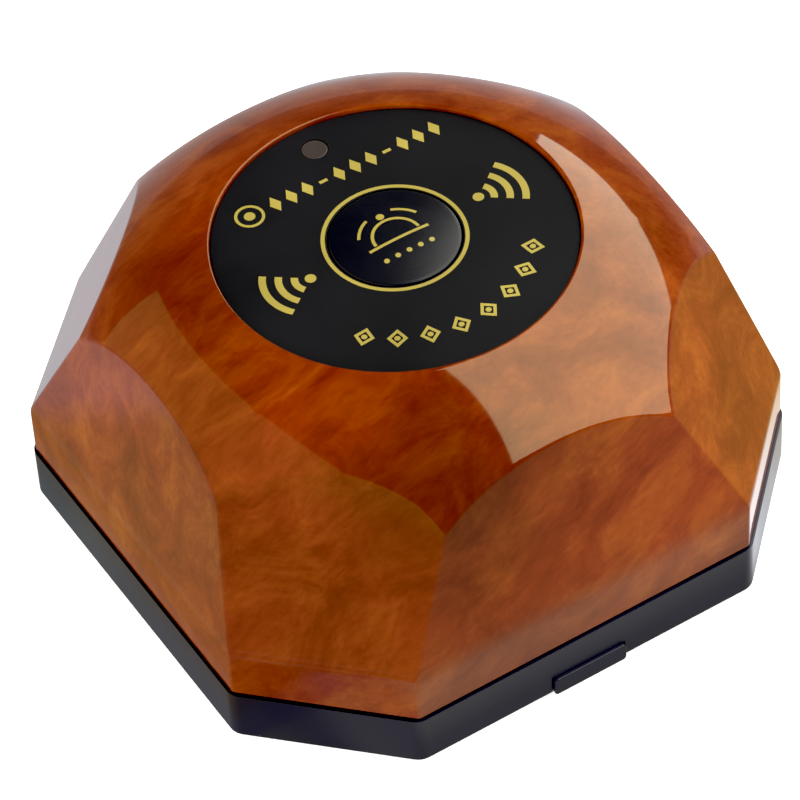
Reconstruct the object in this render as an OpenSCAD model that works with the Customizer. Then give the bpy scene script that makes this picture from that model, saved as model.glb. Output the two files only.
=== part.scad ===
// Table call button: a faceted dome shell on a black base. A press pad in the middle of the
// round label works a switch on a transmitter board, and a hinged door in the base's
// underside closes the battery bay. The front, with the door's finger tab, faces -Y.

/* [Base] */
// Width of the base across its long flats
case_w = 86; // [82:0.5:92]
// Length of each short corner flat
corner_flat = 24.65; // [21:0.05:28]
// Height of the base wall
base_h = 7.6; // [7:0.1:9]
// Thickness of the base wall
base_wall = 2.6; // [2.4:0.1:3]
// Thickness of the base floor
floor_t = 2; // [1.6:0.1:2.4]
// Radius of the base's upright corners
base_corner_r = 2.6; // [1:0.1:4]
// Height of the dark seam between base and shell
seam_gap = 0.45; // [0.3:0.05:1]
// Height of the tongue that stands up inside the shell's lip
tongue_h = 2; // [1:0.1:3]

/* [Shell] */
// Step back from the base's wall to the shell's
shell_inset = 0.35; // [0.2:0.05:0.6]
// Wall thickness of the shell
shell_wall = 2.2; // [1.8:0.1:2.6]
// Thickness of the shell's lip outside the tongue
lip_t = 1.1; // [0.8:0.1:1.3]
// Clearance between lip and tongue
lip_gap = 0.15; // [0.05:0.05:0.3]
// Height of the shell's upright band
band_h = 7.4; // [6:0.1:9]
// Lean of the long facets
long_tilt = 14.8; // [12:0.2:17]
// Lean of the short facets
short_tilt = 27; // [24:0.5:30]
// Length over which each facet eases into the band, above and below its break
facet_ease = 3.2; // [2:0.1:4]
// Radius of the dome's shoulder arc
dome_r = 35.05; // [33.55:0.1:36.55]
// Distance of the arc's centre in from the long flats
dome_side = 27.95; // [26.95:0.1:28.95]
// Depth of the arc's centre below the top of the band
dome_drop = 4.4; // [3:0.1:5.6]
// Radius of the shell's upright corners
shell_corner_r = 1.2; // [0.6:0.1:2]

/* [Label and button] */
// Radius of the label
label_r = 23.65; // [22:0.05:25]
// Thickness of the label
label_t = 0.5; // [0.3:0.05:0.8]
// Clearance around the label in its recess
label_gap = 0.45; // [0.2:0.05:0.8]
// Depth of the label's face below the recess rim
label_sink = 0.55; // [0.2:0.05:1]
// Thickness of the roof under the label
roof_t = 2.2; // [1.6:0.1:3]
// Radius of the press pad
button_r = 8.6; // [7:0.1:10]
// Clearance around the press pad
button_gap = 0.15; // [0.1:0.05:0.3]
// Height of the pad's edge above the label
button_edge = 0.15; // [0:0.05:0.5]
// Rise of the pad's crown above its edge
button_crown = 0.75; // [0.3:0.05:1.5]
// Wall thickness of the pad
button_wall = 1.6; // [1.2:0.1:2]
// Width and height of the flange that keeps the pad in
button_flange = 1.4; // [1:0.1:2]
// Travel of the pad
press_travel = 0.5; // [0.25:0.05:0.8]
// Distance of the status window's middle in from the label's edge
led_setback = 4.05; // [3.2:0.05:5.5]
// Radius of the status window
window_r = 1.75; // [1.5:0.05:2]

/* [Board] */
// Radius of the circuit board
board_r = 26; // [24.5:0.5:29]
// Thickness of the circuit board
board_t = 1.6; // [1:0.1:2]
// Height of the tactile switch with its stem
switch_h = 7; // [6:0.1:9]
// Side of the tactile switch
switch_side = 6; // [5:0.1:7]
// Half spacing of the board posts across
board_post_x = 17.5; // [16:0.1:18]
// Half spacing of the board posts front to back
board_post_y = 13; // [10:0.1:13.5]

/* [Battery bay] */
// Radius of the battery
cell_r = 5.15; // [5:0.05:5.4]
// Length of the battery with its terminal
cell_len = 28.5; // [27.5:0.1:29.5]
// Distance of the battery's axis from the front wall's face
cell_setback = 13.5; // [13.3:0.1:16]
// Length of the contact spring
spring_len = 5.2; // [4.6:0.1:6.5]
// Thickness of the door
door_t = 1.6; // [1.2:0.1:2]
// Clearance around the door
door_gap = 0.25; // [0.2:0.05:0.4]
// Radius of the door's hinge pins
hinge_pin_r = 0.9; // [0.7:0.05:1]
// Width of the finger tab
tab_w = 10.6; // [8:0.1:14]
// Height of the finger tab
tab_h = 2.2; // [1.8:0.1:3]
// Distance that the finger tab stands out of the wall
tab_out = 0.55; // [0.3:0.05:1.2]

/* [Fasteners and feet] */
// Distance of the case screws in from the short flats
screw_setback = 7.5; // [7:0.1:9]
// Radius of the case screws
screw_r = 1.3; // [1:0.05:1.5]
// Length of the case screws under the head
screw_len = 12; // [8:0.5:13]
// Radius of the foot pads
foot_r = 4; // [3:0.1:5]
// Height of the foot pads below the base
foot_proud = 0.6; // [0.3:0.1:1.5]
// Depth of the foot pads' seats in the floor
foot_seat = 0.6; // [0.3:0.1:1]

/* [Hidden] */
$fn = 64;
corner_steps = 6;
inner_corner_r = 1;
fit_gap = 0.05;
free_gap = 0.3;
past = 1;

// The outline is a square with its corners cut off: long flats face the axes, short flats
// the diagonals. Both are given by their distance from the middle.
half_w = case_w / 2;
half_d = half_w * sqrt(2) - corner_flat / 2;

// Heights from the table upwards
base_z = foot_proud;
floor_z = base_z + floor_t;
base_top = base_z + base_h;
shell_z = base_top + seam_gap;
tongue_top = shell_z + tongue_h;
band_top = shell_z + band_h;
tongue_inset = shell_inset + lip_t + lip_gap;

// Dome: an arc turned about the upright axis, run on downwards along its tangent
dome_axis_r = half_w - shell_inset - dome_side;
dome_axis_z = band_top - dome_drop;
dome_low_angle = 25;
dome_high_angle = 85;
dome_steps = 24;
ease_steps = 4;

// Label, roof and press pad
recess_r = label_r + label_gap;
rim_z = dome_axis_z + sqrt(pow(dome_r, 2) - pow(recess_r - dome_axis_r, 2));
label_top = rim_z - label_sink;
roof_top = label_top - label_t;
roof_z = roof_top - roof_t;
button_top = label_top + button_edge;
button_bore_r = button_r + button_gap;
crown_r = (pow(button_r, 2) + pow(button_crown, 2)) / (2 * button_crown);
flange_top = roof_z - 2 * fit_gap;
flange_z = flange_top - button_flange;
guide_r = button_r + button_flange + free_gap;
guide_wall = 1.2;
guide_z = flange_z - press_travel - free_gap;
button_post_r = 2.2;
button_post_z = flange_z - press_travel;

// Switch and board
stem_top = button_post_z - fit_gap;
board_top = stem_top - switch_h;
board_z = board_top - board_t;
switch_body_h = switch_h / 2;
switch_cover_t = 0.3;
stem_r = 1.75;
stem_seat = 1;
stem_well = stem_seat + press_travel + free_gap;
switch_pin_t = 0.5;
switch_pin_x = (switch_side + switch_pin_t) / 2;
switch_pin_y = 2.25;
pin_below = 0.9;
pin_hole_r = 0.45;
board_post_r = 2.6;
board_screw_r = 0.95;
board_screw_len = 6;
board_screw_gap = 0.15;
board_screw_head_r = 1.9;
board_screw_head_h = 1.3;
board_places = [for (x = [-1, 1], y = [-1, 1]) [x * board_post_x, y * board_post_y]];

// Status light under its window
led_y = label_r - led_setback;
led_r = 1.5;
led_len = 5.3;
led_rim_r = 1.9;
led_rim_h = 1;
led_top = roof_top - free_gap;
led_z = led_top - led_len;
led_lead_x = 1.27;
led_lead_r = 0.25;
led_bore_r = led_r + free_gap;
led_tube_wall = 1;
led_tube_r = led_rim_r + free_gap + led_tube_wall;
led_tube_z = led_z + led_rim_h / 2;

// Small parts under the board
chip_size = [8.7, 3.9, 1.5];
chip_at = [-9, 6];
chip_lift = 0.15;
chip_pins = 7;
chip_pitch = 1.27;
chip_pin = [0.4, 1.1, 0.2];
can_r = 4.6;
can_h = 3.4;
can_rim = 0.5;
can_at = [10, 6];
capacitor_r = 2.5;
capacitor_h = 6;
capacitor_at = [13, -4];
resistor_size = [2, 1.25, 0.55];
resistor_count = 6;
resistor_pitch = 3;
resistor_at = [-14, -5];
antenna_wire_r = 0.4;
antenna_coil_r = 2.4;
antenna_turns = 7.5;
antenna_pitch = 1.7;
antenna_drop = 3.6;
antenna_end = 1;
antenna_at = [-7, 14];

// Battery bay: a box in the base, open downwards, with the hinge behind a partition
wall_y = -half_w;
door_lift = 0.1;
door_z = base_z + door_lift;
door_top = door_z + door_t;
cell_gap = 0.5;
cell_y = wall_y + cell_setback;
cell_z = door_top + cell_gap + cell_r;
cell_nub = 1.5;
cell_nub_r = 2.7;
contact_t = 0.4;
contact_w = 8;
contact_h = 2 * cell_r - free_gap;
bay_half_x = (cell_len + spring_len + 2 * contact_t + 2 * fit_gap) / 2;
bay_wall = 1.5;
bay_roof_z = cell_z + cell_r + cell_gap;
bay_top = bay_roof_z + bay_wall;
rib_t = 1.2;
rib_y = cell_y + cell_r + cell_gap;
rib_lift = 2.5;
contact_lip = 0.85;
opening_half_x = bay_half_x - contact_lip;
door_half_x = opening_half_x - door_gap;
barrel_r = 1.8;
hinge_y = rib_y + rib_t + barrel_r + free_gap;
hinge_z = door_z + barrel_r;
hinge_pin_len = 1.3;
bay_rear_y = hinge_y + barrel_r + free_gap;
bay_front_room = 3.5;
bay_front_y = cell_y - cell_r - bay_front_room;
door_front_y = bay_front_y + door_gap;
tail_w = 2;
tail_rise = 2;
tail_top = bay_top + tail_rise;
tail_slot_gap = 0.1;
notch_gap = 0.3;
notch_room = 0.4;
notch_h = tab_h + notch_room;
tab_t = 1.5;
tab_round = 1.1;
tab_top_round = 0.7;
contact_x = bay_half_x - contact_t;
cell_x = contact_x - fit_gap - cell_len;
spring_wire_r = 0.3;
spring_turns = 4;
spring_wide_r = 3.4;
spring_narrow_r = 2.4;

// Case screws, their posts in the base and bosses in the shell
screw_dist = half_d - screw_setback;
post_r = 3.6;
screw_hole_gap = 0.2;
screw_head_r = 2.7;
screw_head_h = 2;
screw_sink = 4;
screw_seat_z = base_z + screw_sink;
pilot_top = screw_seat_z + screw_len + past;

// Feet near the left and right flats
foot_setback = 7.5;
foot_corner = 9;
foot_x = half_w - foot_setback;
foot_y = half_d * sqrt(2) - half_w - foot_corner;
foot_places = [for (x = [-1, 1], y = [-1, 1]) [x * foot_x, y * foot_y]];
foot_gap = 0.15;

// Battery leads, from the contacts' tails to the underside of the board
lead_r = 0.6;
lead_plus_route = [
  [contact_x + contact_t / 2, cell_y, tail_top],
  [contact_x + contact_t / 2, cell_y, tail_top + 2],
  [17, -28, 21], [16, -25, 23], [15, -22, 25], [14, -19, 27],
  [13, -18, board_z - 2],
  [13, -18, board_z]
];
lead_minus_route = [for (p = lead_plus_route) [-p.x, p.y, p.z]];

// Corner k of the outline, between flat k and flat k + 1, as an arc of radius r
function turned(p, a) = [p.x * cos(a) - p.y * sin(a), p.x * sin(a) + p.y * cos(a)];
function corner_arc(k, inset, r) =
  let (
    a = half_w - inset - r,
    t = (half_d - inset - r) * sqrt(2) - a,
    centre = k % 2 == 0 ? [a, t] : [t, a]
  )
  [for (i = [0:corner_steps])
    let (phi = 45 * (k % 2) + 45 * i / corner_steps)
    turned(centre + r * [cos(phi), sin(phi)], 90 * floor(k / 2))];
function case_outline(inset, r) = [for (k = [0:7]) each corner_arc(k, inset, r)];

// Half section of the dome, a given distance inside its outer face
function dome_arc(inset, a) =
  [dome_axis_r, dome_axis_z] + (dome_r - inset) * [cos(a), sin(a)];
function dome_section(inset, z_low) =
  let (
    low = dome_arc(inset, dome_low_angle),
    high = dome_arc(inset, dome_high_angle),
    step = (dome_high_angle - dome_low_angle) / dome_steps
  )
  concat(
    [[0, z_low], [low.x + (low.y - z_low) * tan(dome_low_angle), z_low]],
    [for (i = [0:dome_steps]) dome_arc(inset, dome_low_angle + i * step)],
    [[0, high.y]]
  );

// Round tube along a list of points, closed at both ends
function unit(v) = v / norm(v);
function heading(pts, i) = unit(pts[min(i + 1, len(pts) - 1)] - pts[max(i - 1, 0)]);
function tube_ring(pts, i, r, sides, across) =
  let (t = heading(pts, i), u = unit(cross(t, across)), v = cross(t, u))
  [for (s = [0:sides - 1]) pts[i] + r * (cos(360 * s / sides) * u + sin(360 * s / sides) * v)];

module tube(pts, r, sides, across) {
  last = len(pts) - 1;
  rings = [for (i = [0:last]) each tube_ring(pts, i, r, sides, across)];
  walls = [for (i = [0:last - 1], s = [0:sides - 1])
    let (a = i * sides + s, b = i * sides + (s + 1) % sides, c = b + sides, d = a + sides)
    each [[a, d, c], [a, c, b]]];
  start_cap = [for (s = [1:sides - 2]) [0, s, s + 1]];
  end = last * sides;
  end_cap = [for (s = [1:sides - 2]) [end, end + s + 1, end + s]];
  polyhedron(rings, concat(walls, start_cap, end_cap), convexity = 6);
}

// Turns of a coil along +X from the origin, with its radius going from r0 to r1
function coil_turns(r0, r1, length, turns, steps) =
  [for (i = [0:turns * steps])
    let (f = i / (turns * steps), r = r0 + (r1 - r0) * f, a = -360 * turns * f)
    [length * f, r * cos(a), r * sin(a)]];

module case_prism(inset, r, z_low, z_high) {
  translate([0, 0, z_low])
    linear_extrude(z_high - z_low)
      polygon(case_outline(inset, r));
}

// Section outside a leaning facet: an arc turns the upright flat into the lean. Distances are
// from the place where flat and lean would meet on the shell's outer face.
function ease_point(tilt, inset, a) =
  let (r = facet_ease / tan(tilt / 2))
  [(r - inset) * cos(a) - r, (r - inset) * sin(a) - facet_ease];
function facet_section(tilt, inset) =
  let (
    arc = [for (i = [0:ease_steps]) ease_point(tilt, inset, tilt * i / ease_steps)],
    low = arc[0] + past * unit(arc[0] - arc[1]),
    high = arc[ease_steps] + case_w * [-sin(tilt), cos(tilt)]
  )
  concat([low], arc, [high, [case_w, high.y], [case_w, low.y]]);

// Wedges outside the leaning facets, a given distance inside the shell's outer face
module facet_cuts(inset) {
  for (k = [0:7]) {
    flat = (k % 2 == 0 ? half_w : half_d) - shell_inset;
    tilt = k % 2 == 0 ? long_tilt : short_tilt;
    rotate([0, 0, 45 * k])
      translate([flat, case_w, band_top])
        rotate([90, 0, 0])
          linear_extrude(2 * case_w)
            polygon(facet_section(tilt, inset));
  }
}

// The shell's form: the case outline and the dome of revolution, trimmed by the facets
module faceted_dome(inset, r, z_low, z_high) {
  difference() {
    intersection() {
      case_prism(shell_inset + inset, r, z_low, z_high);
      rotate_extrude()
        polygon(dome_section(inset, z_low));
    }
    facet_cuts(inset);
  }
}

module on_diagonals() {
  for (k = [0:3])
    rotate([0, 0, 45 + 90 * k])
      translate([screw_dist, 0, 0])
        children();
}

module at_places(places) {
  for (p = places)
    translate([p.x, p.y, 0])
      children();
}

// Cylinder between two heights
module post(r, z_low, z_high) {
  translate([0, 0, z_low])
    cylinder(r = r, h = z_high - z_low);
}

// Moulded dome with the label's recess, the pad's bore and guide, the light's tube, the
// board posts and the screw bosses
module top_shell() {
  color("#8a4413")
    difference() {
      union() {
        difference() {
          faceted_dome(0, shell_corner_r, shell_z, rim_z + past);
          faceted_dome(shell_wall, inner_corner_r, shell_z - past, roof_z);
          case_prism(shell_inset + lip_t, inner_corner_r, shell_z - past, tongue_top + free_gap);
        }
        intersection() {
          faceted_dome(shell_wall / 2, inner_corner_r, shell_z, roof_z + past);
          on_diagonals() post(post_r, shell_z, roof_z);
        }
        at_places(board_places) post(board_post_r, board_top, roof_z + roof_t / 2);
        post(guide_r + guide_wall, guide_z, roof_z + roof_t / 2);
        translate([0, led_y, 0]) post(led_tube_r, led_tube_z, roof_z + roof_t / 2);
      }
      post(recess_r, roof_top, rim_z + 2 * past);
      post(button_bore_r, guide_z - past, rim_z);
      post(guide_r, guide_z - past, roof_z);
      translate([0, led_y, 0]) {
        post(led_bore_r, led_z, rim_z);
        post(led_rim_r + free_gap, led_tube_z - past, led_z + led_rim_h + free_gap);
      }
      at_places(board_places)
        post(board_screw_r + fit_gap, board_top - past, board_z + board_screw_len + free_gap);
      on_diagonals() post(screw_r + fit_gap, shell_z - past, pilot_top);
    }
}

// Round face plate with holes for the pad and the window
module label_disc() {
  color("#1c1b21")
    difference() {
      post(label_r, roof_top, label_top);
      post(button_bore_r, roof_top - past, label_top + past);
      translate([0, led_y, 0]) post(window_r + fit_gap, roof_top - past, label_top + past);
    }
}

module led_window() {
  color("#4b4644")
    translate([0, led_y, 0]) post(window_r, roof_top, label_top - fit_gap);
}

// Hollow convex pad with its flange and the post that works the switch
module button_cap() {
  color("#1c1b21") {
    difference() {
      union() {
        intersection() {
          post(button_r, flange_z, button_top + button_crown + past);
          translate([0, 0, button_top + button_crown - crown_r]) sphere(r = crown_r, $fn = 360);
        }
        post(button_r + button_flange, flange_z, flange_top);
      }
      post(button_r - button_wall, flange_z - past, button_top - button_wall);
    }
    post(button_post_r, button_post_z, button_top);
  }
}

// Round board with holes for its screws, the switch's pins and the light's leads
module circuit_board() {
  color("#1f6b3a")
    difference() {
      post(board_r, board_z, board_top);
      at_places(board_places) post(board_screw_r + board_screw_gap, board_z - past, board_top + past);
      switch_pin_places() post(pin_hole_r, board_z - past, board_top + past);
      led_lead_places() post(pin_hole_r, board_z - past, board_top + past);
    }
}

module switch_pin_places() {
  for (x = [-1, 1], y = [-1, 1])
    translate([x * switch_pin_x, y * switch_pin_y, 0])
      children();
}

module led_lead_places() {
  for (x = [-1, 1])
    translate([x * led_lead_x, led_y, 0])
      children();
}

// Square block between two heights
module block(side_x, side_y, z_low, z_high) {
  translate([-side_x / 2, -side_y / 2, z_low])
    cube([side_x, side_y, z_high - z_low]);
}

module switch_body() {
  color("#26262a")
    difference() {
      block(switch_side, switch_side, board_top, board_top + switch_body_h);
      post(stem_r + free_gap, board_top + switch_body_h - stem_well, stem_top);
    }
}

module switch_cover() {
  cover_z = board_top + switch_body_h;
  color("#b9bcc0")
    difference() {
      block(switch_side, switch_side, cover_z, cover_z + switch_cover_t);
      post(stem_r + free_gap, cover_z - past, stem_top);
    }
}

module switch_stem() {
  color("#e8e4da")
    post(stem_r, board_top + switch_body_h - stem_seat, stem_top);
}

module switch_pins() {
  color("#c7cace")
    switch_pin_places()
      block(switch_pin_t, switch_pin_t, board_z - pin_below, board_top + switch_body_h / 2);
}

// Lamp with a domed end and a rim, standing on its leads
module status_led() {
  color("#d8443a")
    translate([0, led_y, 0]) {
      post(led_r, led_z, led_top - led_r);
      post(led_rim_r, led_z, led_z + led_rim_h);
      translate([0, 0, led_top - led_r]) sphere(r = led_r);
    }
}

module led_leads() {
  color("#c7cace")
    led_lead_places() post(led_lead_r, board_z - pin_below, led_z);
}

module encoder_chip() {
  color("#202024")
    translate([chip_at.x, chip_at.y, 0])
      block(chip_size.x, chip_size.y, board_z - chip_lift - chip_size.z, board_z - chip_lift);
}

// Two rows of bent feet between the chip's sides and the board
module encoder_pins() {
  color("#c7cace")
    for (i = [0:chip_pins - 1], side = [-1, 1])
      translate([
        chip_at.x + (i - (chip_pins - 1) / 2) * chip_pitch,
        chip_at.y + side * (chip_size.y + chip_pin.y) / 2,
        0
      ]) {
        block(chip_pin.x, chip_pin.y, board_z - chip_pin.z, board_z);
        translate([0, -side * (chip_pin.y - chip_pin.z) / 2, 0])
          block(chip_pin.x, chip_pin.z, board_z - chip_lift - chip_size.z / 2, board_z);
      }
}

module resonator_can() {
  color("#c7cace")
    translate([can_at.x, can_at.y, 0]) {
      post(can_r, board_z - can_rim, board_z);
      post(can_r - can_rim, board_z - can_h, board_z);
    }
}

// Helical aerial that hangs on its two straight ends
module antenna_coil() {
  length = antenna_turns * antenna_pitch;
  turns = coil_turns(antenna_coil_r, antenna_coil_r, length, antenna_turns, 12);
  route = concat(
    [[0, antenna_coil_r, antenna_drop], [0, antenna_coil_r, antenna_end]],
    turns,
    [[length, -antenna_coil_r, antenna_end], [length, -antenna_coil_r, antenna_drop]]
  );
  color("#b87333")
    translate([antenna_at.x, antenna_at.y, board_z - antenna_drop])
      tube(route, antenna_wire_r, 6, [1, 0.1, 0]);
}

module capacitor() {
  color("#20304a")
    translate([capacitor_at.x, capacitor_at.y, 0]) post(capacitor_r, board_z - capacitor_h, board_z);
}

module chip_resistors() {
  color("#2a2a2e")
    for (i = [0:resistor_count - 1])
      translate([resistor_at.x, resistor_at.y, 0])
        translate([resistor_pitch * (i % 3), -resistor_pitch * floor(i / 3), 0])
          block(resistor_size.x, resistor_size.y, board_z - resistor_size.z, board_z);
}

module board_screws() {
  color("#9a9da2")
    at_places(board_places) {
      post(board_screw_head_r, board_z - board_screw_head_h, board_z);
      post(board_screw_r, board_z - board_screw_head_h, board_z + board_screw_len);
    }
}

// Chamfered-square tray with the tongue, the screw posts, the battery bay and the notch
module base_tray() {
  color("#2b2a2d")
    difference() {
      union() {
        difference() {
          case_prism(0, base_corner_r, base_z, base_top);
          case_prism(base_wall, inner_corner_r, floor_z, base_top + past);
        }
        difference() {
          case_prism(tongue_inset, inner_corner_r, floor_z, tongue_top);
          case_prism(base_wall, inner_corner_r, base_z, tongue_top + past);
        }
        on_diagonals() post(post_r, base_z, shell_z);
        bay_box(bay_half_x + bay_wall, bay_front_y - bay_wall, bay_rear_y + bay_wall, base_z, bay_top);
      }
      bay_hollow();
      notch();
      for (side = [-1, 1]) tail_slot(side);
      hinge_bores();
      on_diagonals() {
        post(screw_r + screw_hole_gap, base_z - past, shell_z + past);
        post(screw_head_r + screw_hole_gap, base_z - past, screw_seat_z);
      }
      at_places(foot_places) post(foot_r + foot_gap, base_z - past, base_z + foot_seat);
    }
}

module bay_box(half_x, y_low, y_high, z_low, z_high) {
  translate([-half_x, y_low, z_low])
    cube([2 * half_x, y_high - y_low, z_high - z_low]);
}

// Room for the battery and its contacts, for the hinge, and for the door below both
module bay_hollow() {
  front_rib_y = cell_y - cell_r - cell_gap;
  difference() {
    bay_box(bay_half_x, bay_front_y, rib_y, floor_z, bay_roof_z);
    bay_box(bay_half_x + past, front_rib_y - rib_t, front_rib_y, floor_z + rib_lift, bay_top);
  }
  bay_box(opening_half_x, rib_y + rib_t, bay_rear_y, floor_z - past, bay_roof_z);
  bay_box(opening_half_x, bay_front_y, bay_rear_y, base_z - past, floor_z);
}

// Notch through the front wall for the door's tongue and tab
module notch() {
  bay_box(tab_w / 2 + notch_gap, wall_y - past, bay_front_y + past, base_z - past, base_z + notch_h);
}

module tail_slot(side) {
  translate([side * (contact_x + contact_t / 2), cell_y, 0])
    block(contact_t + 2 * tail_slot_gap, tail_w + 2 * tail_slot_gap, bay_roof_z - past, bay_top + past);
}

// Blind bores for the hinge pins in both side walls of the bay
module hinge_bores() {
  for (side = [-1, 1])
    translate([side * (opening_half_x - past), hinge_y, hinge_z])
      rotate([0, side * 90, 0])
        cylinder(r = hinge_pin_r + fit_gap, h = past + hinge_pin_len + free_gap);
}

// Door plate with its hinge barrel and pins, and the tongue that ends in the finger tab
module battery_door() {
  tab_face_y = wall_y - tab_out;
  color("#2b2a2d") {
    bay_box(door_half_x, door_front_y, hinge_y, door_z, door_top);
    translate([-door_half_x, hinge_y, hinge_z])
      rotate([0, 90, 0])
        cylinder(r = barrel_r, h = 2 * door_half_x);
    translate([-door_half_x - hinge_pin_len, hinge_y, hinge_z])
      rotate([0, 90, 0])
        cylinder(r = hinge_pin_r, h = 2 * (door_half_x + hinge_pin_len));
    bay_box(tab_w / 2, tab_face_y + tab_t / 2, door_front_y + past, door_z, door_top);
    translate([0, tab_face_y + tab_t, base_z])
      rotate([90, 0, 0])
        linear_extrude(tab_t)
          polygon(tab_outline());
  }
}

// The tab's face, with its corners rounded, the lower ones more
function tab_corner(x, z, r, start) =
  [for (a = [start:15:start + 90])
    [x - sign(x) * r, z == 0 ? r : z - r] + r * [cos(a), sin(a)]];
function tab_outline() =
  concat(
    tab_corner(tab_w / 2, tab_h, tab_top_round, 0),
    tab_corner(-tab_w / 2, tab_h, tab_top_round, 90),
    tab_corner(-tab_w / 2, 0, tab_round, 180),
    tab_corner(tab_w / 2, 0, tab_round, 270)
  );

// Round cell along X with its positive end at +X
module battery_cell() {
  color("#c9a13b")
    translate([cell_x, cell_y, cell_z])
      rotate([0, 90, 0]) {
        cylinder(r = cell_r, h = cell_len - cell_nub);
        cylinder(r = cell_nub_r, h = cell_len);
      }
}

// Conical coil from its plate to the cell's flat end
module contact_spring() {
  turns = coil_turns(spring_wide_r, spring_narrow_r, spring_len - 4 * spring_wire_r, spring_turns, 10);
  start = [-2 * spring_wire_r, spring_wide_r, 0];
  end = [spring_len - 2 * spring_wire_r - fit_gap, spring_narrow_r, 0];
  color("#c7cace")
    translate([2 * spring_wire_r - contact_x, cell_y, cell_z])
      tube(concat([start], turns, [end]), spring_wire_r, 6, [1, 0.1, 0.2]);
}

// Sheet contact against an end wall of the bay, with a tail up through the roof
module end_contact(side) {
  translate([side * (contact_x + contact_t / 2), cell_y, 0]) {
    block(contact_t, contact_w, cell_z - contact_h / 2, cell_z + contact_h / 2);
    block(contact_t, tail_w, cell_z, tail_top);
  }
}

module spring_plate() {
  color("#c7cace") end_contact(-1);
}

module contact_plate() {
  color("#c7cace") end_contact(1);
}

module lead_plus() {
  color("#b3211d") tube(lead_plus_route, lead_r, 8, [1, 0, 0]);
}

module lead_minus() {
  color("#1a1a1c") tube(lead_minus_route, lead_r, 8, [1, 0, 0]);
}

module case_screws() {
  color("#9a9da2")
    on_diagonals() {
      post(screw_head_r, screw_seat_z - screw_head_h, screw_seat_z);
      post(screw_r, screw_seat_z - screw_head_h, screw_seat_z + screw_len);
    }
}

module foot_pads() {
  color("#3a3a3d")
    at_places(foot_places) post(foot_r, 0, base_z + foot_seat);
}

top_shell();
label_disc();
led_window();
button_cap();
circuit_board();
switch_body();
switch_cover();
switch_stem();
switch_pins();
status_led();
led_leads();
encoder_chip();
encoder_pins();
resonator_can();
antenna_coil();
capacitor();
chip_resistors();
board_screws();
base_tray();
battery_door();
battery_cell();
contact_spring();
spring_plate();
contact_plate();
lead_plus();
lead_minus();
case_screws();
foot_pads();
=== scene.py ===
# Looks of a table call button: an amber faceted dome on a black base, with a gold-printed
# black label and a press pad. All sizes are in metres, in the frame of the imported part.
import bpy
import bmesh
from math import acos, asin, atan2, cos, hypot, pi, radians, sin, sqrt, tan
from mathutils import Matrix, Vector


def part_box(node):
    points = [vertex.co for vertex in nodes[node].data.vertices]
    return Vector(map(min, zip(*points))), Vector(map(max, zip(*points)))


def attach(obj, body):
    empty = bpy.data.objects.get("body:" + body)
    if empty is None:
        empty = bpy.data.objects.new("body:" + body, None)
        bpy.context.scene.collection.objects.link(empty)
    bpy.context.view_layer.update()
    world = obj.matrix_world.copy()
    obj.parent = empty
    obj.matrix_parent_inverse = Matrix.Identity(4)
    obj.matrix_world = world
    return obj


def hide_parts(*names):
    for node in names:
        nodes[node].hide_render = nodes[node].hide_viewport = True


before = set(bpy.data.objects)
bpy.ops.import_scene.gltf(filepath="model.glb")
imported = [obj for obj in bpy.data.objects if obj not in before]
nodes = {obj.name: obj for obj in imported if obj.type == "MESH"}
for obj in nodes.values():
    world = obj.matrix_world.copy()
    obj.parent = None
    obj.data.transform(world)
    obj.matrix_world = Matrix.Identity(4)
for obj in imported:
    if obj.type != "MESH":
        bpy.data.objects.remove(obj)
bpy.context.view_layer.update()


# Studio: a camera at the photograph's angle, a large lit panel on the right, a dim warm one on
# the left, a low card at the front left and a soft fill. The shell and the base mirror a pale
# table whose glow changes from place to place, and the camera sees a white backdrop instead.
mm = 0.001
eye_azimuth = radians(-29.733)
eye_elevation = radians(47.388)
eye_roll = radians(3.767)
eye_distance = 646.656 * mm
eye_target = Vector((0, 0, 14.218 * mm))
eye_lens = 220.13
eye_sensor = 36
eye_shift = (-0.00716, -0.0003)
black_point = 0.016
sky_white = (0.9, 0.9, 0.9, 1)
table_half = 4.0
table_z = -0.2 * mm
backdrop_z = -0.1 * mm
backdrop_grey = 0.9
backdrop_glow = (0.7, 0.7, 0.7)
table_near = -100 * mm
table_far = 400 * mm
table_shade_out = -62 * mm
table_shade_in = -40 * mm
glare_at = (42 * mm, -30 * mm, 0)
glare_in = 12 * mm
glare_out = 22 * mm
bounce_at = (108 * mm, -30 * mm, 0)
bounce_in = 42 * mm
bounce_out = 80 * mm
dusk_at = (-112 * mm, -86 * mm, 0)
dusk_in = 54 * mm
dusk_out = 74 * mm

eye_back = Vector((sin(eye_azimuth) * cos(eye_elevation),
                   -cos(eye_azimuth) * cos(eye_elevation),
                   sin(eye_elevation)))
eye_right = Vector((cos(eye_azimuth), sin(eye_azimuth), 0))
eye_up = eye_back.cross(eye_right)
axis_x = eye_right * cos(eye_roll) - eye_up * sin(eye_roll)
axis_y = eye_right * sin(eye_roll) + eye_up * cos(eye_roll)

camera_data = bpy.data.cameras.new("camera")
camera_data.lens = eye_lens
camera_data.sensor_width = eye_sensor
camera_data.shift_x = eye_shift[0]
camera_data.shift_y = eye_shift[1]
camera = bpy.data.objects.new("camera", camera_data)
camera.matrix_world = Matrix.Translation(eye_target + eye_back * eye_distance) @ Matrix(
    (axis_x, axis_y, eye_back)).transposed().to_4x4()
bpy.context.scene.collection.objects.link(camera)
bpy.context.scene.camera = camera

view = bpy.context.scene.view_settings
view.view_transform = "Standard"
view.use_curve_mapping = True
view.curve_mapping.black_level = (black_point,) * 3
view.curve_mapping.update()


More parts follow.
